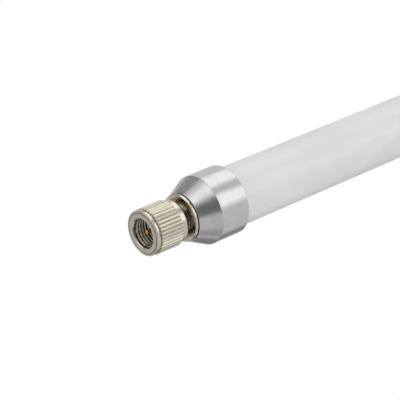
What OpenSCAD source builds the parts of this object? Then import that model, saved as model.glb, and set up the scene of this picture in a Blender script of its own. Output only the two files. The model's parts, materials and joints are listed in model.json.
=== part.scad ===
// Outdoor fibreglass omnidirectional antenna with an SMA plug.
// +Z runs along the antenna's axis, from the connector to the tip. The origin is the
// connector's reference plane: the end face of its outer contact, on the axis.

/* [Radome tube and cap] */
// Outside diameter of the fibreglass tube
tube_d = 13; // [12.6:0.1:13.4]
// Wall thickness of the fibreglass tube
tube_wall = 1.5; // [1.2:0.1:1.5]
// Length of the fibreglass tube
tube_length = 198.5; // [180:0.5:260]
// Height of the domed end cap above the tube
cap_height = 5.4; // [4:0.1:6]
// Depth that the cap's plug reaches into the tube
plug_depth = 6; // [4:0.5:8]
// Thickness of the epoxy in each glued joint
bond = 0.1; // [0.05:0.05:0.15]

/* [Ferrule] */
// Outside diameter of the ferrule
ferrule_d = 15; // [14.8:0.1:16]
// Diameter of the ferrule's narrow end
nose_d = 10.6; // [10.4:0.1:11.5]
// Length of the ferrule
ferrule_length = 11.6; // [11.4:0.1:13]
// Length of the ferrule's cone
cone_length = 4.45; // [3.8:0.05:5]
// Depth of the socket that holds the tube
socket_depth = 6.2; // [5:0.1:6.2]
// Chamfer on the ferrule's rim and shoulder
ferrule_edge = 0.2; // [0.1:0.05:0.3]

/* [Connector body] */
// Outside diameter of the outer contact sleeve
sleeve_d = 4.59; // [4.58:0.01:4.6]
// Inside diameter of the outer contact sleeve
sleeve_bore_d = 4.1; // [4:0.02:4.14]
// Length of the outer contact sleeve
sleeve_length = 2.4; // [2.3:0.05:2.5]
// Diameter of the body's shoulder and neck
neck_d = 6.4; // [6.3:0.05:6.4]
// Where the neck meets the flange, above the reference plane
flange_z = 6.5; // [6.2:0.1:7]
// Diameter of the flange at its chamfered front
flange_front_d = 10; // [9.6:0.1:10]
// Diameter of the flange at its back
flange_d = 10.3; // [10:0.1:10.4]
// Thickness of the flange
flange_thick = 0.55; // [0.5:0.05:0.8]
// Diameter of the spigot pressed into the ferrule
spigot_d = 7; // [6.8:0.1:7.4]
// Diameter of the centre pin
pin_d = 0.91; // [0.9:0.01:0.93]
// Length of the centre pin beyond the reference plane
pin_length = 2.45; // [2.3:0.05:2.5]
// Diameter of the centre contact inside the insulator
contact_d = 1.27; // [1.2:0.01:1.3]
// Thickness of the flat seal under the flange
seal_thick = 0.25; // [0.2:0.05:0.4]

/* [Coupling nut] */
// Diameter over the knurl's ridges
nut_d = 10; // [9.9:0.05:10.2]
// Number of ridges round the knurl
ridges = 38; // [32:1:44]
// Height of a ridge
ridge_height = 0.28; // [0.2:0.02:0.34]
// Distance from the nut's front face to the knurl
nut_ring_length = 1.1; // [1:0.05:1.2]
// Length of the knurled band
knurl_length = 5.8; // [5.6:0.1:5.9]
// Diameter of the smooth collar behind the knurl
collar_d = 9.32; // [9:0.02:9.4]
// Distance from the nut's front face to the reference plane
nut_reach = 3.4; // [3.3:0.05:3.43]
// Overall length of the nut
nut_length = 8.1; // [8:0.05:8.2]
// Pitch of the 36-per-inch thread
thread_pitch = 0.7056; // [0.705:0.0001:0.706]
// Diameter at the thread's crests
thread_minor_d = 5.74; // [5.74:0.01:5.8]
// Diameter at the thread's roots
thread_major_d = 6.35; // [6.35:0.01:6.4]
// Number of thread turns
thread_turns = 6; // [5:1:6]
// How far the nut can float along its axis
nut_float = 0.35; // [0.2:0.05:0.35]

/* [Feed line] */
// Diameter over the coaxial line's shield
coax_d = 2.2; // [2.16:0.02:2.24]
// Wall thickness of the shield
shield_wall = 0.26; // [0.2:0.02:0.3]
// Diameter of the coaxial line's core
core_d = 0.52; // [0.5:0.01:0.54]
// Height of the feed point above the reference plane
feed_z = 54; // [52:1:58]
// Length of the brass choke sleeve
choke_length = 28; // [26:0.5:30]
// Outside diameter of the choke sleeve
choke_d = 8; // [7.6:0.1:8.4]
// Wall thickness of the choke sleeve
choke_wall = 0.3; // [0.3:0.1:0.5]

/* [Radiating element] */
// Diameter of the radiator's wire
wire_d = 1.2; // [1:0.1:1.3]
// Length of the wire's first straight section
first_section = 28; // [26:1:30]
// Length of the wire's section between the coils
middle_section = 56; // [50:1:60]
// Turns of each phasing coil
coil_turns = 3; // [2:1:3]
// Diameter of each coil at the wire's centre
coil_d = 4.8; // [4.4:0.1:5.4]
// Rise of a coil in one turn
coil_pitch = 2; // [1.8:0.1:2.2]
// Length of each foam spacer
spacer_length = 6; // [4:0.5:8]

/* [Hidden] */
$fn = 96;
edge_steps = 5;
crown_steps = 16;
cut = 1;
gap = 0.05;

tube_r = tube_d / 2;
tube_in_r = tube_r - tube_wall;
neck_r = neck_d / 2;
nose_z = flange_z + flange_thick + seal_thick;
rim_z = nose_z + ferrule_length;
tube_z = rim_z - socket_depth;
tube_top = tube_z + tube_length;
plug_z = tube_top - plug_depth;
plug_r = tube_in_r - bond;
cap_skirt = 1.2;

shoulder_length = 0.7;
ring_groove_z = sleeve_length + shoulder_length;
ring_thick = 0.4;
ring_slack = 0.02;
ring_in_r = 2.75;
ring_out_r = 3.65;
ring_angle = 325;
ring_z = ring_groove_z + ring_slack;
ring_groove_length = ring_thick + nut_float + gap;
gasket_thick = 0.6;
gasket_in_r = 2.86;

nut_front = -nut_reach;
nut_back = nut_front + nut_length;
knurl_z = nut_front + nut_ring_length;
knurl_top = knurl_z + knurl_length;
knurl_edge = 0.15;
ridge_foot = 0.36;
ridge_crest = 0.14;
ridge_r = nut_d / 2;
root_r = ridge_r - ridge_height;
nut_face_r = 4.3;
face_step = 0.16;
face_step_width = 0.1;
bead_r = 4.87;
bead_edge = 0.42;
bead_groove_length = 0.36;
bead_groove_depth = 0.28;
minor_r = thread_minor_d / 2;
major_r = thread_major_d / 2;
mouth_r = 3.3;
mouth_length = 0.25;
relief_r = neck_r + gap;
nut_groove_r = ring_out_r + 2 * gap;
thread_root_flat = thread_pitch / 8;
flank_angle = 30;
thread_flank = (major_r - minor_r) * tan(flank_angle);
first_thread_offset = 0.55;
first_thread_z = nut_front + first_thread_offset;
thread_end = first_thread_z + (thread_turns - 0.5) * thread_pitch;

insulator_top = 7.5;
spigot_clearance = 0.2;
spigot_top = tube_z - spigot_clearance;
flange_chamfer = 0.15;
pin_tip = 0.4;
bond_inset = 0.3;
coax_r = coax_d / 2;
dielectric_r = coax_r - shield_wall;
core_r = core_d / 2;
cup_depth = 1.5;
shrink_wall = 0.25;
shrink_gap = 0.2;
shrink_length = 11;
solder_r = 1.7;
solder_length = 0.6;
choke_r = choke_d / 2;
choke_in_r = choke_r - choke_wall;
choke_bottom = feed_z - choke_length;
bush_length = 4;
disc_thick = 1;
dielectric_overhang = 0.5;
dielectric_top = feed_z + dielectric_overhang;
joint_lift = 1.5;
joint_z = feed_z + joint_lift;
joint_length = 4;
joint_r = 0.9;
wire_z = joint_z + joint_length / 2;
feed_insulator_r = 3;
feed_insulator_length = 7;

wire_r = wire_d / 2;
coil_r = coil_d / 2;
coil_span = coil_turns + 1;
coil_length = coil_span * coil_pitch;
coil_steps = 10;
lower_coil_z = wire_z + first_section;
upper_coil_z = lower_coil_z + coil_length + middle_section;
pad_thick = 1.7;
tip_clearance = 0.5;
wire_top = plug_z - pad_thick - tip_clearance;
wire_sides = 8;
former_margin = 0.9;
former_inset = wire_r + former_margin;
former_r = coil_r - wire_r - 2 * gap;

// A solid rod on the axis
module rod(r, z0, z1) {
    translate([0, 0, z0]) cylinder(r = r, h = z1 - z0);
}

// A straight ring on the axis
module ring(r_out, r_in, z0, z1) {
    difference() {
        rod(r_out, z0, z1);
        rod(r_in, z0 - cut, z1 + cut);
    }
}

// Points of an arc round [r, z], for an outline in the r-z plane
function arc(centre, radius, from, to, steps) =
    [for (i = [0 : steps]) let (a = from + (to - from) * i / steps) centre + radius * [cos(a), sin(a)]];

// The four corners of one thread groove in the nut
function thread_groove(z) = [
    [minor_r, z - thread_root_flat / 2 - thread_flank],
    [major_r, z - thread_root_flat / 2],
    [major_r, z + thread_root_flat / 2],
    [minor_r, z + thread_root_flat / 2 + thread_flank]
];

// Straight knurl: flat-topped ridges along the axis, chamfered at both ends
module knurled_band() {
    step = 360 / ridges;
    corners = [
        [-ridge_foot, root_r],
        [-ridge_crest, ridge_r],
        [ridge_crest, ridge_r],
        [ridge_foot, root_r]
    ];
    outline = [
        for (i = [0 : ridges - 1], corner = corners)
            let (a = (i + corner[0]) * step) corner[1] * [cos(a), sin(a)]
    ];
    intersection() {
        translate([0, 0, knurl_z]) linear_extrude(height = knurl_length) polygon(outline);
        rotate_extrude() polygon([
            [0, knurl_z],
            [ridge_r - knurl_edge, knurl_z],
            [ridge_r + gap, knurl_z + knurl_edge],
            [ridge_r + gap, knurl_top - knurl_edge],
            [ridge_r - knurl_edge, knurl_top],
            [0, knurl_top]
        ]);
    }
}

module coupling_nut() {
    color("#c8c0b2") difference() {
        union() {
            rotate_extrude() polygon([
                [0, nut_front],
                [nut_face_r, nut_front],
                [nut_face_r, nut_front + face_step],
                [nut_face_r + face_step_width, nut_front + face_step],
                [nut_face_r + face_step_width, nut_front],
                each arc([bead_r - bead_edge, nut_front + bead_edge], bead_edge, -90, 0, edge_steps),
                [bead_r, knurl_z - bead_groove_length],
                [bead_r - bead_groove_depth, knurl_z - bead_groove_length / 2],
                [root_r, knurl_z],
                [0, knurl_z]
            ]);
            knurled_band();
            rod(collar_d / 2, knurl_top, nut_back);
        }
        rotate_extrude() polygon([
            [0, nut_front - cut],
            [mouth_r, nut_front - cut],
            [mouth_r, nut_front],
            [minor_r, nut_front + mouth_length],
            for (i = [0 : thread_turns - 1]) each thread_groove(first_thread_z + i * thread_pitch),
            [minor_r, thread_end],
            [relief_r, thread_end],
            [relief_r, ring_z - ring_slack],
            [nut_groove_r, ring_z - ring_slack],
            [nut_groove_r, ring_z + ring_thick + ring_slack],
            [relief_r, ring_z + ring_thick + ring_slack],
            [relief_r, nut_back + cut],
            [0, nut_back + cut]
        ]);
    }
}

module snap_ring() {
    color("#b08d57") translate([0, 0, ring_z])
        rotate_extrude(angle = ring_angle)
            translate([ring_in_r, 0]) square([ring_out_r - ring_in_r, ring_thick]);
}

module connector_body() {
    color("#b9ad9a") rotate_extrude() polygon([
        [sleeve_bore_d / 2, 0],
        [sleeve_d / 2, 0],
        [sleeve_d / 2, sleeve_length],
        [neck_r, sleeve_length],
        [neck_r, ring_groove_z],
        [ring_in_r - gap, ring_groove_z],
        [ring_in_r - gap, ring_groove_z + ring_groove_length],
        [neck_r, ring_groove_z + ring_groove_length],
        [neck_r, flange_z],
        [flange_front_d / 2, flange_z],
        [flange_d / 2, flange_z + flange_chamfer],
        [flange_d / 2, flange_z + flange_thick],
        [spigot_d / 2, flange_z + flange_thick],
        [spigot_d / 2, spigot_top],
        [coax_r, spigot_top],
        [coax_r, insulator_top],
        [sleeve_bore_d / 2, insulator_top]
    ]);
}

module interface_gasket() {
    color("#c4553b") ring(neck_r, gasket_in_r, sleeve_length - gasket_thick, sleeve_length);
}

module connector_insulator() {
    color("#f1f0ea") ring(sleeve_bore_d / 2, contact_d / 2, 0, insulator_top);
}

module centre_contact() {
    pin_r = pin_d / 2;
    color("#d9b24a") rotate_extrude() polygon([
        [0, -pin_length],
        each arc([pin_r - pin_tip, pin_tip - pin_length], pin_tip, -90, 0, edge_steps),
        [pin_r, 0],
        [contact_d / 2, 0],
        [contact_d / 2, insulator_top],
        [core_r, insulator_top],
        [core_r, insulator_top - cup_depth],
        [0, insulator_top - cup_depth]
    ]);
}

module flange_seal() {
    color("#3a3835") ring(flange_d / 2 - gap, spigot_d / 2, nose_z - seal_thick, nose_z);
}

module ferrule() {
    socket_r = tube_r + bond;
    shoulder_z = nose_z + cone_length;
    outer_r = ferrule_d / 2;
    color("#c3c5c8") rotate_extrude() polygon([
        [spigot_d / 2, nose_z],
        [nose_d / 2, nose_z],
        [outer_r - ferrule_edge, shoulder_z - 2 * ferrule_edge],
        [outer_r, shoulder_z],
        [outer_r, rim_z - ferrule_edge],
        [outer_r - ferrule_edge, rim_z],
        [socket_r, rim_z],
        [socket_r, tube_z],
        [spigot_d / 2, tube_z]
    ]);
}

module tube_bond() {
    color("#d8d2b8") ring(tube_r + bond, tube_r, tube_z, rim_z - bond_inset);
}

module radome_tube() {
    color("#dcdcdd") ring(tube_r, tube_in_r, tube_z, tube_top);
}

module end_cap() {
    crown = cap_height - cap_skirt;
    crown_r = (tube_r * tube_r + crown * crown) / (2 * crown);
    crown_angle = asin(tube_r / crown_r);
    color("#e4e4e4") rotate_extrude() polygon([
        [0, plug_z],
        [plug_r - bond, plug_z],
        [plug_r, plug_z + bond],
        [plug_r, tube_top],
        [tube_r, tube_top],
        each arc([0, tube_top + cap_height - crown_r], crown_r, 90 - crown_angle, 90, crown_steps)
    ]);
}

module cap_bond() {
    color("#d8d2b8") ring(tube_in_r, plug_r, plug_z + 2 * bond, tube_top);
}

module coax_shield() {
    color("#b87b4b") ring(coax_r, dielectric_r, insulator_top, feed_z);
}

module coax_dielectric() {
    color("#f1f0ea") ring(dielectric_r, core_r, insulator_top, dielectric_top);
}

module coax_core() {
    color("#c9ccd0") rod(core_r, insulator_top - cup_depth, wire_z);
}

module shield_solder() {
    color("#a9adb2") difference() {
        translate([0, 0, spigot_top])
            cylinder(r1 = solder_r, r2 = coax_r + gap, h = solder_length);
        rod(coax_r, spigot_top - cut, spigot_top + solder_length + cut);
    }
}

module heat_shrink() {
    start = spigot_top + solder_length + shrink_gap;
    color("#26272a") ring(coax_r + shrink_wall, coax_r, start, start + shrink_length);
}

module choke_sleeve() {
    color("#c6a04e") ring(choke_r, choke_in_r, choke_bottom, feed_z);
}

module choke_disc() {
    color("#c6a04e") ring(choke_in_r, coax_r, feed_z - disc_thick, feed_z);
}

module choke_bush() {
    color("#f1f0ea") ring(choke_in_r, coax_r, choke_bottom, choke_bottom + bush_length);
}

module feed_insulator() {
    color("#f1f0ea") ring(feed_insulator_r, joint_r, feed_z, feed_z + feed_insulator_length);
}

module feed_joint() {
    color("#a9adb2") difference() {
        rod(joint_r, joint_z, joint_z + joint_length);
        rod(core_r, joint_z - cut, wire_z + cut);
        rod(wire_r, wire_z, joint_z + joint_length + cut);
    }
}

// Centre line of a coil: it leaves the axis and comes back to it over half a turn
function coil_reach(t) = coil_r * (1 - cos(360 * min(t, coil_span - t, 0.5))) / 2;
function coil_point(z, t) = [coil_reach(t) * cos(360 * t), coil_reach(t) * sin(360 * t), z + coil_pitch * t];
function coil_times() = [for (i = [0 : coil_span * coil_steps]) i / coil_steps];

// One ring of points round the wire, square to its direction
function unit(v) = v / norm(v);
function wire_ring(centre, direction, angle) =
    let (
        out = [cos(angle), sin(angle), 0],
        side = unit(out - (out * direction) * direction),
        up = cross(direction, side)
    )
    [
        for (k = [0 : wire_sides - 1])
            let (a = 360 * k / wire_sides) centre + wire_r * (cos(a) * side + sin(a) * up)
    ];

module radiator() {
    path = concat(
        [[0, 0, wire_z]],
        [for (t = coil_times()) coil_point(lower_coil_z, t)],
        [for (t = coil_times()) coil_point(upper_coil_z, t)],
        [[0, 0, wire_top]]
    );
    angles = concat([0], 360 * coil_times(), 360 * coil_times(), [0]);
    last = len(path) - 1;
    points = [
        for (i = [0 : last])
            let (ahead = path[min(i + 1, last)], behind = path[max(i - 1, 0)])
                each wire_ring(path[i], unit(ahead - behind), angles[i])
    ];
    sides = [
        for (i = [0 : last - 1], k = [0 : wire_sides - 1])
            let (a = i * wire_sides, b = a + wire_sides, next = (k + 1) % wire_sides)
                [a + k, b + k, b + next, a + next]
    ];
    ends = [
        [for (k = [0 : wire_sides - 1]) k],
        [for (k = [0 : wire_sides - 1]) len(points) - 1 - k]
    ];
    color("#b87333") polyhedron(points = points, faces = concat(sides, ends));
}

// PTFE rod inside a phasing coil
module coil_former(z) {
    color("#f1f0ea") rod(former_r, z + former_inset, z + coil_length - former_inset);
}

module coil_former_lower() {
    coil_former(lower_coil_z);
}

module coil_former_upper() {
    coil_former(upper_coil_z);
}

// Foam ring between the tube and what it centres
module spacer(inner_r, z) {
    color("#e9e6dc") ring(tube_in_r, inner_r, z - spacer_length / 2, z + spacer_length / 2);
}

module spacer_lower() {
    spacer(choke_r, feed_z - choke_length / 2);
}

module spacer_middle() {
    spacer(wire_r, lower_coil_z + coil_length + middle_section / 2);
}

module spacer_upper() {
    spacer(wire_r, (upper_coil_z + coil_length + wire_top) / 2);
}

module top_pad() {
    color("#e9e6dc") rod(tube_in_r, plug_z - pad_thick, plug_z);
}

coupling_nut();
snap_ring();
connector_body();
interface_gasket();
connector_insulator();
centre_contact();
flange_seal();
ferrule();
tube_bond();
radome_tube();
end_cap();
cap_bond();
coax_shield();
coax_dielectric();
coax_core();
shield_solder();
heat_shrink();
choke_sleeve();
choke_disc();
choke_bush();
feed_insulator();
feed_joint();
radiator();
coil_former_lower();
coil_former_upper();
spacer_lower();
spacer_middle();
spacer_upper();
top_pad();
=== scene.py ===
import json
import math

import bpy
from mathutils import Matrix, Vector


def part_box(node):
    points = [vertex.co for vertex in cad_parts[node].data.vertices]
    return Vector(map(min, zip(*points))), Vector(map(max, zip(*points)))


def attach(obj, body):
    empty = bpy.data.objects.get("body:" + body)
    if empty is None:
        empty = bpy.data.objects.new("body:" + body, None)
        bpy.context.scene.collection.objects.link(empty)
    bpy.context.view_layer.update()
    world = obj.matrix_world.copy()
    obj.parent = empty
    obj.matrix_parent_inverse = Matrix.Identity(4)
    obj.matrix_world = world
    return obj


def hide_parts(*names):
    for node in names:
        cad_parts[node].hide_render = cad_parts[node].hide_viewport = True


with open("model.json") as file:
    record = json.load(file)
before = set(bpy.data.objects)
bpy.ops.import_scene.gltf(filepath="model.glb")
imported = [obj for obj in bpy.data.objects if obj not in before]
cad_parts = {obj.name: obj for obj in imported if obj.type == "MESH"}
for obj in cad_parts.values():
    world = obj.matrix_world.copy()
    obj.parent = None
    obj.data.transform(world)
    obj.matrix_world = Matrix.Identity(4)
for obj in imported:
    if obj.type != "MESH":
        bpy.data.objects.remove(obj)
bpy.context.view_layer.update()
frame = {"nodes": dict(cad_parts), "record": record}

MM = 0.001
TAU = 2 * math.pi

# The nut's thread, in millimetres
THREAD_PITCH = 25.4 / 36
THREAD_MINOR = 2.87
THREAD_MAJOR = 3.175
THREAD_LENGTH = 4.43
THREAD_START = math.radians(100)

# The nut's outside: lengths are from its front face, in millimetres
FACE_R = 4.3
FACE_GROOVE = 0.1
RING_LENGTH = 1.1
KNURL_END = 6.9

# The flange's front face, above the reference plane, and its radius there, in millimetres
FLANGE_Z = 6.5
FLANGE_FRONT_R = 5.0

# The spigot pressed into the ferrule and the gasket's hole, in millimetres
SPIGOT_R = 3.5
GASKET_HOLE_R = 2.86


# ---------------------------------------------------------------- places, from the frame

class Place:
    """A round CAD node's place: its ends along the axis and its outer radius, in millimetres."""

    def __init__(self, node):
        low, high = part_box(node)
        self.bottom = low.z / MM
        self.top = high.z / MM
        self.radius = max(high.x, high.y) / MM


NUT = Place("coupling_nut")
RING = Place("snap_ring")
BODY = Place("connector_body")
GASKET = Place("interface_gasket")
INSULATOR = Place("connector_insulator")
PIN = Place("centre_contact")
SEAL = Place("flange_seal")
FERRULE = Place("ferrule")
TUBE = Place("radome_tube")
CAP = Place("end_cap")
CAP_BOND = Place("cap_bond")


# ---------------------------------------------------------------- mesh building

# The largest shares of a side that an arc and its support point may take
ARC_SHARE = 0.45
SUPPORT_SHARE = 0.04
# A point nearer to the axis than this lies on it, in millimetres
ON_AXIS = 1e-6


def fillet(points, steps=5, support=0.03):
    """An outline with its corners rounded. Points are (r, z, fillet radius) in millimetres, round a
    closed loop. Support points beside each arc keep the flats flat under smooth shading."""
    outline = []
    count = len(points)
    for i, (r, z, size) in enumerate(points):
        corner = Vector((r, z))
        before = Vector(points[i - 1][:2]) - corner
        after = Vector(points[(i + 1) % count][:2]) - corner
        if size <= 0:
            outline.append(corner)
            continue
        half = before.angle(after) / 2
        reach = min(size / math.tan(half), ARC_SHARE * before.length, ARC_SHARE * after.length)
        size = reach * math.tan(half)
        spare = min(support, SUPPORT_SHARE * before.length, SUPPORT_SHARE * after.length)
        before.normalize()
        after.normalize()
        start = corner + before * reach
        centre = corner + (before + after).normalized() * (size / math.sin(half))
        arm = start - centre
        last = corner + after * reach - centre
        swing = math.atan2(arm.cross(last), arm.dot(last))
        outline.append(start + before * spare)
        for k in range(steps + 1):
            a = swing * k / steps
            cos, sin = math.cos(a), math.sin(a)
            outline.append(centre + Vector((arm.x * cos - arm.y * sin, arm.x * sin + arm.y * cos)))
        outline.append(corner + after * (reach + spare))
    return [(p.x, p.y) for p in outline]


def mesh_piece(name, vertices, faces):
    """A smooth-shaded mesh object from millimetre coordinates."""
    mesh = bpy.data.meshes.new(name)
    mesh.from_pydata([Vector(v) * MM for v in vertices], [], faces)
    mesh.validate()
    mesh.update()
    for polygon in mesh.polygons:
        polygon.use_smooth = True
    piece = bpy.data.objects.new(name, mesh)
    bpy.context.scene.collection.objects.link(piece)
    return piece


def revolve(name, outline, segments=256, radius_at=None):
    """Turns a closed outline about Z. radius_at(r, z, angle) may change the radius point by point.
    Outline points on the axis become one shared point."""
    vertices, rows = [], []
    for r, z in outline:
        if r < ON_AXIS:
            rows.append([len(vertices)] * segments)
            vertices.append((0, 0, z))
            continue
        row = []
        for k in range(segments):
            angle = TAU * k / segments
            radius = radius_at(r, z, angle) if radius_at else r
            row.append(len(vertices))
            vertices.append((radius * math.cos(angle), radius * math.sin(angle), z))
        rows.append(row)
    faces = []
    for i, row in enumerate(rows):
        following = rows[(i + 1) % len(rows)]
        if row[0] == row[1] and following[0] == following[1]:
            continue
        for k in range(segments):
            n = (k + 1) % segments
            corners = [row[k], row[n], following[n], following[k]]
            faces.append([c for j, c in enumerate(corners) if c not in corners[:j]])
    return mesh_piece(name, vertices, faces)


# ---------------------------------------------------------------- materials

class Nodes:
    """Short calls for building a node tree."""

    def __init__(self, tree):
        self.tree = tree

    def add(self, kind, **settings):
        node = self.tree.nodes.new(kind)
        for key, value in settings.items():
            setattr(node, key, value)
        return node

    def feed(self, socket, value):
        """Links an output to a socket, or sets the socket's value."""
        if isinstance(value, bpy.types.NodeSocket):
            self.tree.links.new(value, socket)
        else:
            socket.default_value = value

    def vector_math(self, operation, a, b=None, scale=None):
        node = self.add("ShaderNodeVectorMath", operation=operation)
        self.feed(node.inputs[0], a)
        if b is not None:
            self.feed(node.inputs[1], b)
        if scale is not None:
            self.feed(node.inputs["Scale"], scale)
        return node.outputs["Value" if operation in ("LENGTH", "DOT_PRODUCT") else "Vector"]

    def math(self, operation, a, b=0.0, clamp=False):
        node = self.add("ShaderNodeMath", operation=operation, use_clamp=clamp)
        self.feed(node.inputs[0], a)
        self.feed(node.inputs[1], b)
        return node.outputs[0]

    def ramp(self, value, low, high, to_low=0.0, to_high=1.0, smooth=False):
        node = self.add("ShaderNodeMapRange", interpolation_type="SMOOTHSTEP" if smooth else "LINEAR")
        self.feed(node.inputs["Value"], value)
        ends = {"From Min": low, "From Max": high, "To Min": to_low, "To Max": to_high}
        for key, number in ends.items():
            node.inputs[key].default_value = number
        return node.outputs["Result"]


# How strongly each finer layer of a noise shows
NOISE_ROUGHNESS = 0.55
# How far tool marks stray from true circles
TOOL_WOBBLE = 0.012


class Graph(Nodes):
    """A node material under construction. Lengths are in millimetres of the row frame."""

    def __init__(self, name, colour, metallic=0.0, roughness=0.5):
        self.material = bpy.data.materials.new(name)
        self.material.use_nodes = True
        super().__init__(self.material.node_tree)
        self.shader = self.tree.nodes["Principled BSDF"]
        self.shader.inputs["Base Color"].default_value = (*colour, 1)
        self.shader.inputs["Metallic"].default_value = metallic
        self.shader.inputs["Roughness"].default_value = roughness
        self.colour = (*colour, 1)
        self.roughness = roughness
        place = self.add("ShaderNodeTexCoord")
        self.point = self.vector_math("SCALE", place.outputs["Object"], scale=1 / MM)

    def radius(self):
        """Distance from the axis."""
        return self.vector_math("LENGTH", self.vector_math("MULTIPLY", self.point, (1, 1, 0)))

    def height(self):
        """Place along the axis."""
        return self.vector_math("DOT_PRODUCT", self.point, (0, 0, 1))

    def product(self, first, *others):
        """Masks multiplied together."""
        result = first
        for mask in others:
            result = self.math("MULTIPLY", result, mask)
        return result

    def noise(self, size, detail=3.0, point=None, stretch=(1, 1, 1)):
        """Noise with features about `size` millimetres across, stretched along each axis."""
        where = self.vector_math("DIVIDE", point or self.point, tuple(size * s for s in stretch))
        node = self.add("ShaderNodeTexNoise")
        self.feed(node.inputs["Vector"], where)
        node.inputs["Scale"].default_value = 1.0
        node.inputs["Detail"].default_value = detail
        node.inputs["Roughness"].default_value = NOISE_ROUGHNESS
        return node.outputs["Fac"]

    def turned(self):
        """The radius and the height, with a slight wobble round the axis. Anything drawn on this point
        runs round the axis, as tool marks do."""
        height = self.vector_math("MULTIPLY", self.point, (0, 0, 1))
        wobble = self.vector_math("MULTIPLY", self.point, (TOOL_WOBBLE, TOOL_WOBBLE, 0))
        radius = self.add("ShaderNodeCombineXYZ")
        self.feed(radius.inputs["X"], self.radius())
        return self.vector_math("ADD", self.vector_math("ADD", radius.outputs[0], height), wobble)

    def tint(self, amount, other):
        """Mixes the base colour towards another colour."""
        node = self.add("ShaderNodeMix", data_type="RGBA")
        self.feed(node.inputs["Factor"], amount)
        current = self.shader.inputs["Base Color"]
        if current.is_linked:
            self.feed(node.inputs["A"], current.links[0].from_socket)
        else:
            node.inputs["A"].default_value = self.colour
        node.inputs["B"].default_value = (*other, 1)
        self.feed(current, node.outputs["Result"])

    def vary_roughness(self, value, amount):
        """Adds (value - 0.5) * amount to the roughness."""
        current = self.shader.inputs["Roughness"]
        start = current.links[0].from_socket if current.is_linked else self.roughness
        shifted = self.math("MULTIPLY", self.math("SUBTRACT", value, 0.5), amount)
        self.feed(current, self.math("ADD", shifted, start, clamp=True))

    def bump(self, height, depth):
        """Adds relief `depth` millimetres deep."""
        node = self.add("ShaderNodeBump")
        node.inputs["Strength"].default_value = 1.0
        node.inputs["Distance"].default_value = depth * MM
        self.feed(node.inputs["Height"], height)
        current = self.shader.inputs["Normal"]
        if current.is_linked:
            self.feed(node.inputs["Normal"], current.links[0].from_socket)
        self.feed(current, node.outputs["Normal"])

    def radial_tangent(self, anisotropy):
        """Stretches highlights across tool marks that run round the axis."""
        tangent = self.add("ShaderNodeTangent", direction_type="RADIAL", axis="Z")
        self.shader.inputs["Anisotropic"].default_value = anisotropy
        self.feed(self.shader.inputs["Tangent"], tangent.outputs[0])


def turned_metal(name, colour, worn, roughness, mark=0.09, depth=0.0012, patch=3.0, anisotropy=0.0,
                 sheen_drift=None):
    """Machined metal: tool marks round the axis, cloudy patches of handling, a slight colour drift."""
    g = Graph(name, colour, metallic=1.0, roughness=roughness)
    marks = g.noise(mark, detail=2.0, point=g.turned())
    coarse = g.noise(mark * 7, detail=3.0, point=g.turned())
    patches = g.noise(patch, detail=4.0)
    g.tint(g.ramp(patches, 0.45, 0.75, 0.0, 0.5), worn)
    g.tint(g.ramp(coarse, 0.4, 0.7, 0.0, 0.25), worn)
    g.vary_roughness(patches, 0.18)
    g.vary_roughness(marks, 0.12)
    g.bump(marks, depth)
    g.bump(g.noise(0.6, detail=2.0), depth * 1.2)
    if sheen_drift:
        g.tint(g.ramp(g.noise(patch * 2, detail=2.0), 0.45, 0.6, 0.0, 0.5), sheen_drift)
    if anisotropy:
        g.radial_tangent(anisotropy)
    return g.material


def aluminium():
    """The ferrule: bare turned aluminium, neutral and fairly bright."""
    return turned_metal("aluminium", (0.668, 0.665, 0.658), (0.585, 0.58, 0.57), 0.22, mark=0.07,
                        depth=0.0016, patch=2.5, anisotropy=0.45, sheen_drift=(0.60, 0.615, 0.64))


# The brown painted on nickel where its painted shade is full
PAINTED_SHADE_BROWN = (0.17, 0.125, 0.075)


def nickel(name, roughness, shade_mask, patch=0.7, thinnest=0.55):
    """Warm bright nickel plate over brass, with painted shade: the third argument returns how much
    painted shade, tinted brown, lies on the metal, 0 to 1. Patches about `patch` millimetres across
    thin the painted shade down to `thinnest`."""
    g = Graph(name, (0.672, 0.632, 0.53), metallic=1.0, roughness=roughness)
    clouds = g.noise(1.6, detail=4.0)
    fine = g.noise(0.16, detail=3.0)
    g.tint(g.ramp(clouds, 0.42, 0.72, 0.0, 0.35), (0.56, 0.51, 0.42))
    g.tint(g.ramp(fine, 0.55, 0.8, 0.0, 0.16), (0.46, 0.41, 0.33))
    # Painted shade in the hollows: the metal is tinted towards a brown, thinned in patches
    shade_amount = shade_mask(g)
    patches = g.ramp(g.noise(patch, detail=3.0), 0.35, 0.6, thinnest, 1.0)
    g.tint(g.math("MULTIPLY", shade_amount, patches), PAINTED_SHADE_BROWN)
    g.vary_roughness(clouds, 0.12)
    g.vary_roughness(fine, 0.08)
    g.bump(g.noise(0.09, detail=2.0, point=g.turned()), 0.0007)
    g.bump(g.noise(0.35, detail=3.0), 0.002)
    return g.material


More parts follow.
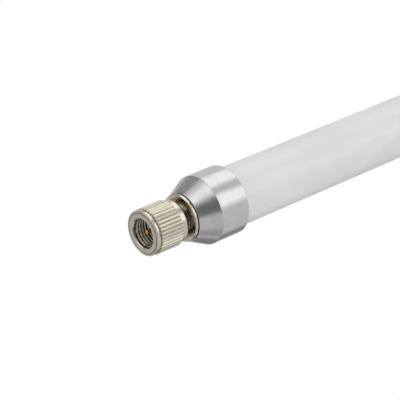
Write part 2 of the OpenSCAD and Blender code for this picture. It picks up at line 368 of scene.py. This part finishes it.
def nut_painted_shade(g):
    """Painted shade for the nut, tinted brown: darker in the thread's roots and deep in the bore, in
    the knurl's valleys, in the groove behind the bead and in the line round the face."""
    radius = g.radius()
    depth = g.math("SUBTRACT", g.height(), NUT.bottom)
    # Painted shade in the thread's roots and, growing with depth, inside the bore
    root = g.ramp(radius, THREAD_MINOR + 0.03, THREAD_MINOR + 0.14, smooth=True)
    shade = g.ramp(depth, 0.6, 2.6, 0.0, 0.85)
    bore_edge, chamfer_end = 3.85, 0.2
    inner = g.product(
        g.math("MAXIMUM", root, shade),
        g.ramp(radius, bore_edge, bore_edge + 0.15, 1.0, 0.0),
        g.ramp(depth, chamfer_end, chamfer_end + 0.14),
    )
    # Painted shade in the knurl's valleys and the groove behind the bead, weaker along the knurl
    groove_start = 0.7
    outer = g.product(
        g.ramp(radius, NUT.radius - 0.1, NUT.radius - 0.25, smooth=True),
        g.ramp(radius, FACE_R - 0.2, FACE_R),
        g.ramp(depth, groove_start, groove_start + 0.08),
        g.ramp(depth, RING_LENGTH - 0.05, RING_LENGTH + 0.2, 1.0, 0.5),
        g.ramp(depth, KNURL_END - 0.1, KNURL_END + 0.05, 1.0, 0.0),
    )
    # Painted shade in the line round the face
    line_end = FACE_R + FACE_GROOVE
    line = g.product(
        g.ramp(radius, FACE_R - 0.05, FACE_R + 0.01),
        g.ramp(radius, line_end + 0.01, line_end + 0.06, 1.0, 0.0),
        g.ramp(depth, 0.5, 0.6, 0.9, 0.0),
    )
    return g.math("MAXIMUM", g.math("MAXIMUM", inner, outer), line)


def body_painted_shade(g):
    """Painted shade, tinted brown, in the neck behind the nut; the outer part and the rim of the
    flange stay bright.
    """
    # Painted shade in the recess between the nut and the flange
    neck_start, clean_r = 3.9, 4.15
    return g.product(
        g.ramp(g.height(), neck_start, neck_start + 0.7),
        g.ramp(g.radius(), clean_r, clean_r + 0.35, 1.0, 0.0, smooth=True),
        g.ramp(g.height(), FLANGE_Z + 0.4, FLANGE_Z + 0.5, 1.0, 0.0),
    )


def fibreglass():
    """White gelcoat over wound glass: soft mottling, orange peel, faint winding bands and pinholes."""
    g = Graph("fibreglass", (0.918, 0.913, 0.9), roughness=0.36)
    s = g.shader.inputs
    s["IOR"].default_value = 1.5
    s["Coat Weight"].default_value = 0.25
    s["Coat Roughness"].default_value = 0.18
    s["Subsurface Weight"].default_value = 0.04
    s["Subsurface Radius"].default_value = (0.0012, 0.0011, 0.001)
    s["Subsurface Scale"].default_value = 1.0
    clouds = g.noise(9.0, detail=4.0, stretch=(1, 1, 2.5))
    strands = g.noise(0.35, detail=3.0, stretch=(1, 1, 22))
    g.tint(g.ramp(clouds, 0.4, 0.7, 0.0, 0.35), (0.69, 0.70, 0.70))
    g.tint(g.ramp(strands, 0.52, 0.75, 0.0, 0.12), (0.64, 0.65, 0.64))
    pinholes = g.add("ShaderNodeTexVoronoi", feature="F1")
    g.feed(pinholes.inputs["Vector"], g.vector_math("SCALE", g.point, scale=1 / 2.2))
    pinholes.inputs["Scale"].default_value = 1.0
    g.tint(g.ramp(pinholes.outputs["Distance"], 0.035, 0.02, 0.0, 0.3), (0.5, 0.5, 0.49))
    g.vary_roughness(clouds, 0.12)
    g.bump(g.noise(1.1, detail=2.0), 0.006)
    g.bump(strands, 0.0025)
    return g.material


def moulded(name, colour, shade, roughness, grain=0.25, depth=0.004, cloud=4.0, metallic=0.0):
    """Moulded or cast stuff: fine grain, uneven gloss and slow colour drift."""
    g = Graph(name, colour, metallic=metallic, roughness=roughness)
    clouds = g.noise(cloud, detail=3.0)
    fine = g.noise(grain, detail=3.0)
    g.tint(g.ramp(clouds, 0.4, 0.7, 0.0, 0.5), shade)
    g.tint(g.ramp(fine, 0.5, 0.8, 0.0, 0.2), shade)
    g.vary_roughness(clouds, 0.15)
    g.vary_roughness(fine, 0.1)
    g.bump(fine, depth)
    return g.material


def foam():
    """Closed-cell foam: small rounded cells."""
    g = Graph("foam", (0.84, 0.82, 0.77), roughness=0.85)
    cells = g.add("ShaderNodeTexVoronoi", feature="F1")
    g.feed(cells.inputs["Vector"], g.vector_math("SCALE", g.point, scale=1 / 0.4))
    cells.inputs["Scale"].default_value = 1.0
    distance = cells.outputs["Distance"]
    g.tint(g.ramp(distance, 0.3, 0.6, 0.0, 0.6), (0.62, 0.59, 0.53))
    g.tint(g.ramp(g.noise(3.0), 0.4, 0.7, 0.0, 0.3), (0.75, 0.72, 0.66))
    g.bump(g.math("SUBTRACT", 1.0, distance), 0.06)
    return g.material


MATERIALS = {
    "nickel": nickel("nickel", 0.16, nut_painted_shade),
    "nickel_body": nickel("nickel_body", 0.12, body_painted_shade, patch=1.5, thinnest=0.2),
    "spring_bronze": turned_metal("spring_bronze", (0.62, 0.43, 0.24), (0.45, 0.30, 0.16), 0.3),
    "silicone": moulded("silicone", (0.50, 0.11, 0.06), (0.38, 0.07, 0.04), 0.55, grain=0.12),
    "ptfe": moulded("ptfe", (0.85, 0.85, 0.82), (0.75, 0.75, 0.71), 0.4, grain=0.15, cloud=1.5),
    "gold": turned_metal("gold", (0.72, 0.50, 0.21), (0.55, 0.35, 0.12), 0.14, mark=0.05, patch=0.6),
    "seal_rubber": moulded("seal_rubber", (0.022, 0.021, 0.02), (0.045, 0.043, 0.04), 0.6, grain=0.1),
    "aluminium": aluminium(),
    "epoxy": moulded("epoxy", (0.62, 0.57, 0.42), (0.5, 0.44, 0.3), 0.25, grain=0.3, cloud=2.0),
    "fibreglass": fibreglass(),
    "cap_plastic": moulded("cap_plastic", (0.89, 0.885, 0.872), (0.83, 0.825, 0.81), 0.32, grain=0.3),
    "copper": turned_metal("copper", (0.80, 0.44, 0.28), (0.52, 0.26, 0.16), 0.28),
    "silver_plate": turned_metal("silver_plate", (0.86, 0.85, 0.82), (0.66, 0.63, 0.58), 0.2),
    "solder": moulded("solder", (0.5, 0.51, 0.52), (0.38, 0.385, 0.39), 0.35, grain=0.2, depth=0.01,
                      metallic=1.0),
    "shrink_sleeve": moulded("shrink_sleeve", (0.02, 0.02, 0.022), (0.04, 0.04, 0.042), 0.45),
    "brass": turned_metal("brass", (0.82, 0.63, 0.30), (0.62, 0.43, 0.18), 0.25),
    "foam": foam(),
}


def finish_piece(piece, body, slot, *nodes):
    """Gives a piece its material, the body it moves with and the CAD nodes it stands for."""
    piece.data.materials.clear()
    piece.data.materials.append(MATERIALS[slot])
    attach(piece, body)
    if nodes:
        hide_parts(*nodes)
    return piece


# ---------------------------------------------------------------- pieces

def coupling_nut():
    """Knurled nut: a face inside a rounded bead, the knurl, a plain collar and a bored-out inside."""
    ridges = 38
    per_ridge = 12
    ridge_depth = 0.28
    flat_share, slope_share, slope_curve = 0.44, 0.48, 0.9
    mouth_r, mouth_length = 3.3, 0.2
    face_depth, face_edge = 0.16, 0.02
    bead_r = 4.87
    ring_top = NUT.bottom + RING_LENGTH
    knurl_top = NUT.bottom + KNURL_END
    undercut, undercut_depth = 0.36, 0.28
    collar_r = 4.66
    relief_r = 3.25
    groove_r = 3.75
    groove_bottom, groove_top = RING.bottom - 0.02, RING.top + 0.02
    crest = NUT.radius
    lead = 0.16

    outline = fillet([
        (THREAD_MAJOR, NUT.bottom + mouth_length, 0.02),
        (mouth_r, NUT.bottom, 0.05),
        (FACE_R, NUT.bottom, 0.06),
        (FACE_R + face_edge, NUT.bottom + face_depth, 0.02),
        (FACE_R + FACE_GROOVE, NUT.bottom + face_depth, 0.02),
        (FACE_R + FACE_GROOVE + face_edge, NUT.bottom + 0.04, 0.05),
        (bead_r, NUT.bottom + 0.06, 0.42),
        (bead_r, ring_top - undercut, 0.08),
        (bead_r - undercut_depth, ring_top - undercut / 2, 0.04),
        (crest - ridge_depth, ring_top - 0.02, 0.03),
        (crest, ring_top + lead, 0.06),
        (crest, knurl_top - lead, 0.06),
        (collar_r + 0.05, knurl_top, 0.04),
        (collar_r, knurl_top + 0.06, 0.05),
        (collar_r, NUT.top, 0.14),
        (relief_r, NUT.top, 0.1),
        (relief_r, groove_top, 0.04),
        (groove_r, groove_top, 0.03),
        (groove_r, groove_bottom, 0.03),
        (relief_r, groove_bottom, 0.04),
        (relief_r, NUT.bottom + THREAD_LENGTH, 0.05),
        (THREAD_MAJOR, NUT.bottom + THREAD_LENGTH, 0.02),
    ])

    def ridge_cut(angle):
        """Depth of the knurl's V groove, 0 on a ridge's crest and 1 at the bottom."""
        across = abs((angle / TAU * ridges) % 1 - 0.5) * 2
        v = (across - flat_share) / slope_share
        return min(1.0, max(0.0, v)) ** slope_curve

    def radius_at(r, z, angle):
        if ring_top < z < knurl_top and r > crest - ridge_depth:
            return min(r, crest - ridge_depth * ridge_cut(angle))
        return r

    nut = revolve("coupling_nut_shell", outline, segments=ridges * per_ridge, radius_at=radius_at)
    return finish_piece(nut, "nut", "nickel", "coupling_nut")


def nut_thread():
    """The nut's thread: one helical ridge that fades in and out at its ends."""
    per_turn = 120
    fade = per_turn // 4
    inset = 0.33
    start, end = NUT.bottom + inset, NUT.bottom + THREAD_LENGTH - inset
    steps = round((end - start) / THREAD_PITCH * per_turn)
    flank = (THREAD_MAJOR - THREAD_MINOR) * math.tan(math.radians(30))
    crest_half = THREAD_PITCH / 10
    foot_half = crest_half + flank
    ease = 0.03
    below_crest, on_crest = 0.58 * ease, 0.7 * ease
    side = [
        (THREAD_MAJOR + ease, foot_half + ease),
        (THREAD_MAJOR, foot_half),
        (THREAD_MINOR + ease, crest_half + below_crest),
        (THREAD_MINOR, crest_half - on_crest),
    ]
    profile = [(r, -half) for r, half in side] + [(r, half) for r, half in reversed(side)]
    vertices, faces = [], []
    for k in range(steps + 1):
        angle = TAU * k / per_turn + THREAD_START
        height = min(1.0, k / fade, (steps - k) / fade)
        middle = start + THREAD_PITCH * k / per_turn
        for r, offset in profile:
            radius = THREAD_MAJOR + ease - (THREAD_MAJOR + ease - r) * height
            vertices.append((radius * math.cos(angle), radius * math.sin(angle), middle + offset))
    wide = len(profile)
    for k in range(steps):
        for i in range(wide - 1):
            corner = k * wide + i
            faces.append([corner, corner + 1, corner + wide + 1, corner + wide])
    thread = mesh_piece("coupling_nut_thread", vertices, faces)
    return finish_piece(thread, "nut", "nickel")


def connector_body():
    """Outer contact sleeve, shoulder, snap ring groove, neck, chamfered flange and spigot."""
    sleeve_r, bore_r = 2.295, INSULATOR.radius
    neck_r = 3.2
    groove_r = 2.7
    groove_bottom, groove_top = 3.1, 3.9
    sleeve_length = 2.4
    coax_r = 1.1
    body = revolve("connector_body_shell", fillet([
        (bore_r, 0, 0.05),
        (sleeve_r, 0, 0.06),
        (sleeve_r, sleeve_length, 0.04),
        (neck_r, sleeve_length, 0.06),
        (neck_r, groove_bottom, 0.05),
        (groove_r, groove_bottom, 0.03),
        (groove_r, groove_top, 0.03),
        (neck_r, groove_top, 0.05),
        (neck_r, FLANGE_Z, 0.15),
        (FLANGE_FRONT_R, FLANGE_Z, 0.05),
        (BODY.radius, FLANGE_Z + (BODY.radius - FLANGE_FRONT_R), 0.05),
        (BODY.radius, SEAL.bottom, 0.04),
        (SPIGOT_R, SEAL.bottom, 0.03),
        (SPIGOT_R, BODY.top, 0.2),
        (coax_r, BODY.top, 0.05),
        (coax_r, INSULATOR.top, 0),
        (bore_r, INSULATOR.top, 0),
    ]))
    return finish_piece(body, "antenna", "nickel_body", "connector_body")


def centre_contact():
    """Gold pin with a rounded tip, and the cup that holds the coaxial line's core."""
    pin_r = 0.455
    tip = 0.4
    core_r = 0.26
    cup = 1.5
    pin = revolve("centre_contact_pin", fillet([
        (0, PIN.bottom, 0),
        (pin_r, PIN.bottom, tip),
        (pin_r, 0, 0.02),
        (PIN.radius, 0, 0.03),
        (PIN.radius, PIN.top, 0.03),
        (core_r, PIN.top, 0),
        (core_r, PIN.top - cup, 0),
        (0, PIN.top - cup, 0),
    ], steps=8), segments=96)
    return finish_piece(pin, "antenna", "gold", "centre_contact")


def collar(name, body, slot, place, inner_r, edge, node, bulge=0.0):
    """A rounded ring that stands for a round CAD node. Its outer wall may bulge."""
    middle = (place.bottom + place.top) / 2
    ring = revolve(name, fillet([
        (inner_r, place.bottom, edge),
        (place.radius - bulge, place.bottom, edge),
        (place.radius, middle, edge * 2 if bulge else 0),
        (place.radius - bulge, place.top, edge),
        (inner_r, place.top, edge),
    ]), segments=192)
    return finish_piece(ring, body, slot, node)


def ferrule():
    """Aluminium cone and socket, with broken edges."""
    nose_r = 5.3
    cone_length = 4.45
    shoulder = FERRULE.bottom + cone_length - 0.04
    socket_r = TUBE.radius + 0.1
    piece = revolve("ferrule_shell", fillet([
        (SPIGOT_R, FERRULE.bottom, 0.05),
        (nose_r, FERRULE.bottom, 0.09),
        (FERRULE.radius, shoulder, 0.5),
        (FERRULE.radius, FERRULE.top, 0.06),
        (socket_r, FERRULE.top, 0.1),
        (socket_r, TUBE.bottom, 0.1),
        (SPIGOT_R, TUBE.bottom, 0.1),
    ], steps=7), segments=384)
    return finish_piece(piece, "antenna", "aluminium", "ferrule")


def tube():
    """White fibreglass tube with broken edges."""
    inner_r = CAP_BOND.radius
    rings = 24
    length = TUBE.top - TUBE.bottom
    outside = [(TUBE.radius, TUBE.bottom + length * i / rings) for i in range(1, rings)]
    corners = fillet([
        (inner_r, TUBE.bottom, 0.1),
        (TUBE.radius, TUBE.bottom, 0.15),
        (TUBE.radius, TUBE.top, 0.12),
        (inner_r, TUBE.top, 0.1),
    ])
    half = len(corners) // 2
    piece = revolve("radome_tube_shell", corners[:half] + outside + corners[half:], segments=256)
    return finish_piece(piece, "antenna", "fibreglass", "radome_tube")


def end_cap():
    """Moulded cap: a plug in the tube, a short skirt flush with it and a dome with a soft shoulder."""
    plug_r = CAP_BOND.radius - 0.1
    skirt = 1.2
    skirt_top = TUBE.top + skirt
    rise = CAP.top - skirt_top
    dome_steps = 40
    fullness = 0.9
    dome = []
    for i in range(dome_steps + 1):
        a = math.pi / 2 * i / dome_steps
        dome.append((CAP.radius * math.cos(a) ** fullness, skirt_top + rise * math.sin(a)))
    dome[-1] = (0, CAP.top)
    base = fillet([
        (0, CAP.bottom, 0),
        (plug_r, CAP.bottom, 0.4),
        (plug_r, TUBE.top, 0.05),
        (CAP.radius, TUBE.top, 0.12),
        (CAP.radius, skirt_top, 0),
    ])[:-1]
    piece = revolve("end_cap_shell", base + dome, segments=256)
    return finish_piece(piece, "antenna", "cap_plastic", "end_cap")


def radiator():
    """The copper wire: straight, then a phasing coil, straight, a second coil and straight again."""
    low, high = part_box("radiator")
    wire_r = 0.6
    coil_r, coil_rise, turns = 2.4, 2.0, 4
    first_section, middle_section = 28.0, 56.0
    per_turn, sides = 48, 24
    bottom, top = low.z / MM, high.z / MM
    lower_coil = bottom + first_section
    upper_coil = lower_coil + turns * coil_rise + middle_section

    def coil(start):
        points = []
        for k in range(turns * per_turn + 1):
            t = k / per_turn
            turn = TAU * t
            reach = coil_r * (1 - math.cos(TAU * min(t, turns - t, 0.5))) / 2
            place = Vector((reach * math.cos(turn), reach * math.sin(turn), start + coil_rise * t))
            points.append((place, turn))
        return points

    ease = 0.12
    path = [(Vector((0, 0, bottom)), 0.0, wire_r - ease), (Vector((0, 0, bottom + ease)), 0.0, wire_r)]
    path += [(point, angle, wire_r) for point, angle in coil(lower_coil) + coil(upper_coil)]
    path += [(Vector((0, 0, top - ease)), 0.0, wire_r), (Vector((0, 0, top)), 0.0, wire_r - ease)]
    vertices, faces = [], []
    for i, (centre, angle, radius) in enumerate(path):
        along = (path[min(i + 1, len(path) - 1)][0] - path[max(i - 1, 0)][0]).normalized()
        out = Vector((math.cos(angle), math.sin(angle), 0))
        side = (out - out.dot(along) * along).normalized()
        up = along.cross(side)
        for k in range(sides):
            turn = TAU * k / sides
            vertices.append(tuple(centre + radius * (math.cos(turn) * side + math.sin(turn) * up)))
    for i in range(len(path) - 1):
        for k in range(sides):
            n = (k + 1) % sides
            faces.append([i * sides + k, i * sides + n, (i + 1) * sides + n, (i + 1) * sides + k])
    faces.append(list(range(sides))[::-1])
    faces.append([(len(path) - 1) * sides + k for k in range(sides)])
    wire = mesh_piece("radiator_wire", vertices, faces)
    return finish_piece(wire, "antenna", "copper", "radiator")


def inner_nodes():
    """The CAD nodes that stay: each one gets its slot's material."""
    shown = {row["node"]: row["material_slot"] for row in frame["record"]["subparts"]}
    for node, slot in shown.items():
        cad = frame["nodes"][node]
        if cad.hide_render:
            continue
        for index in range(len(cad.material_slots)):
            cad.material_slots[index].material = MATERIALS[slot]


coupling_nut()
nut_thread()
connector_body()
centre_contact()
collar("interface_gasket_ring", "antenna", "silicone", GASKET, GASKET_HOLE_R, 0.08, "interface_gasket")
collar("insulator_bead", "antenna", "ptfe", INSULATOR, PIN.radius, 0.04, "connector_insulator")
collar("flange_seal_ring", "antenna", "seal_rubber", SEAL, SPIGOT_R, 0.04, "flange_seal", bulge=0.05)
ferrule()
tube()
end_cap()
radiator()
inner_nodes()


# ---------------------------------------------------------------- camera, floor and light

# The lens and the sensor's width, in millimetres
LENS = 164.6
SENSOR = 36.0
CAMERA_PLACE = Vector((-1.86, -306.35, -208.03)) * MM
CAMERA_RIGHT = Vector((0.3827, -0.5405, 0.7493))
CAMERA_FORWARD = Vector((0.0, 0.8110, 0.5851))


def camera():
    """A long lens below the upright antenna, looking up at its connector and rolled until the axis
    rises to the right. Returns its turn, which the studio shares."""
    back = -CAMERA_FORWARD.normalized()
    right = CAMERA_RIGHT - CAMERA_RIGHT.dot(back) * back
    right.normalize()
    up = back.cross(right)
    data = bpy.data.cameras.new("camera")
    data.lens = LENS
    data.sensor_width = SENSOR
    data.clip_start = 0.005
    data.clip_end = 20.0
    cam = bpy.data.objects.new("camera", data)
    turn = Matrix((right, up, back)).transposed()
    cam.matrix_world = Matrix.Translation(CAMERA_PLACE) @ turn.to_4x4()
    bpy.context.scene.collection.objects.link(cam)
    bpy.context.scene.camera = cam
    return turn


def floor():
    """A wide pale floor well below the antenna, in metres. Reflections see the studio instead."""
    size, height = 40.0, -1.5
    mesh = bpy.data.meshes.new("floor")
    corners = [(x * size, y * size, height) for x, y in ((-1, -1), (1, -1), (1, 1), (-1, 1))]
    mesh.from_pydata(corners, [], [(0, 1, 2, 3)])
    piece = bpy.data.objects.new("floor", mesh)
    bpy.context.scene.collection.objects.link(piece)
    g = Graph("floor", (0.95, 0.95, 0.945), roughness=0.8)
    g.tint(g.ramp(g.noise(400.0), 0.4, 0.7, 0.0, 0.3), (0.93, 0.93, 0.925))
    g.bump(g.noise(3.0), 0.1)
    mesh.materials.append(g.material)
    piece.visible_glossy = False


# The studio is a room seen from the object. Each panel is a soft-edged patch of it: the azimuth of its
# middle and its half width, the elevation of its middle and its half height, all in degrees, and its
# brightness. Azimuth 0 is toward the camera and 90 is to the camera's right. Later panels lie over
# earlier ones.
PANELS = {
    "right_wall": (105, 50, -8, 26, 0.70),
    "right_box": (108, 60, 23, 17, 1.32),
    "top_box": (115, 64, 72, 11, 1.32),
    "box_gap": (80, 40, 50, 8, 0.62),
    "ceiling_end": (180, 32, 38, 22, 0.75),
    "left_box": (-38, 43, 45, 17, 1.30),
    "left_top": (-5, 45, 72, 8, 0.80),
    "left_corner": (-118, 34, 45, 26, 0.35),
    "left_wall": (-125, 50, -15, 34, 0.56),
    "camera_side": (30, 24, 3, 22, 0.18),
    "floor_front": (0, 75, -45, 20, 0.64),
    "floor_right": (105, 35, -60, 18, 0.38),
    "floor_back": (165, 22, -40, 20, 0.25),
    "floor_left": (-140, 50, -68, 16, 0.28),
}
ROOM_LEVEL = 0.64
PANEL_EDGE = 5


def studio(turn):
    """White to the eye. For light and reflections it is a grey room with soft panels."""
    sky = bpy.data.worlds.new("studio")
    sky.use_nodes = True
    sky.node_tree.nodes.clear()
    n = Nodes(sky.node_tree)
    sight = n.add("ShaderNodeTexCoord").outputs["Generated"]

    def share(way):
        """How far the line of sight goes along a way that is given as (right, up, back)."""
        return n.vector_math("DOT_PRODUCT", sight, tuple(turn @ Vector(way)))

    def within(angle, half):
        """1 within an angle of half a panel, with a soft edge."""
        size = n.math("ABSOLUTE", angle)
        low, high = math.radians(half - PANEL_EDGE), math.radians(half + PANEL_EDGE)
        return n.ramp(size, low, high, 1.0, 0.0, smooth=True)

    elevation = n.math("ARCSINE", share((0, 1, 0)))
    level = ROOM_LEVEL
    for middle, half_width, height, half_height, brightness in PANELS.values():
        cos, sin = math.cos(math.radians(middle)), math.sin(math.radians(middle))
        azimuth = n.math("ARCTAN2", share((cos, 0, -sin)), share((sin, 0, cos)))
        across = within(azimuth, half_width)
        along = within(n.math("SUBTRACT", elevation, math.radians(height)), half_height)
        change = n.math("SUBTRACT", brightness, level)
        level = n.math("ADD", n.math("MULTIPLY", n.math("MULTIPLY", across, along), change), level)

    room = n.add("ShaderNodeBackground")
    n.feed(room.inputs["Color"], level)
    white = n.add("ShaderNodeBackground")
    white.inputs["Color"].default_value = (1, 1, 1, 1)
    mix = n.add("ShaderNodeMixShader")
    n.feed(mix.inputs["Fac"], n.add("ShaderNodeLightPath").outputs["Is Camera Ray"])
    n.feed(mix.inputs[1], room.outputs[0])
    n.feed(mix.inputs[2], white.outputs[0])
    n.feed(n.add("ShaderNodeOutputWorld").inputs["Surface"], mix.outputs[0])
    bpy.context.scene.world = sky


view_turn = camera()
floor()
studio(view_turn)
bpy.context.scene.view_settings.view_transform = "Standard"
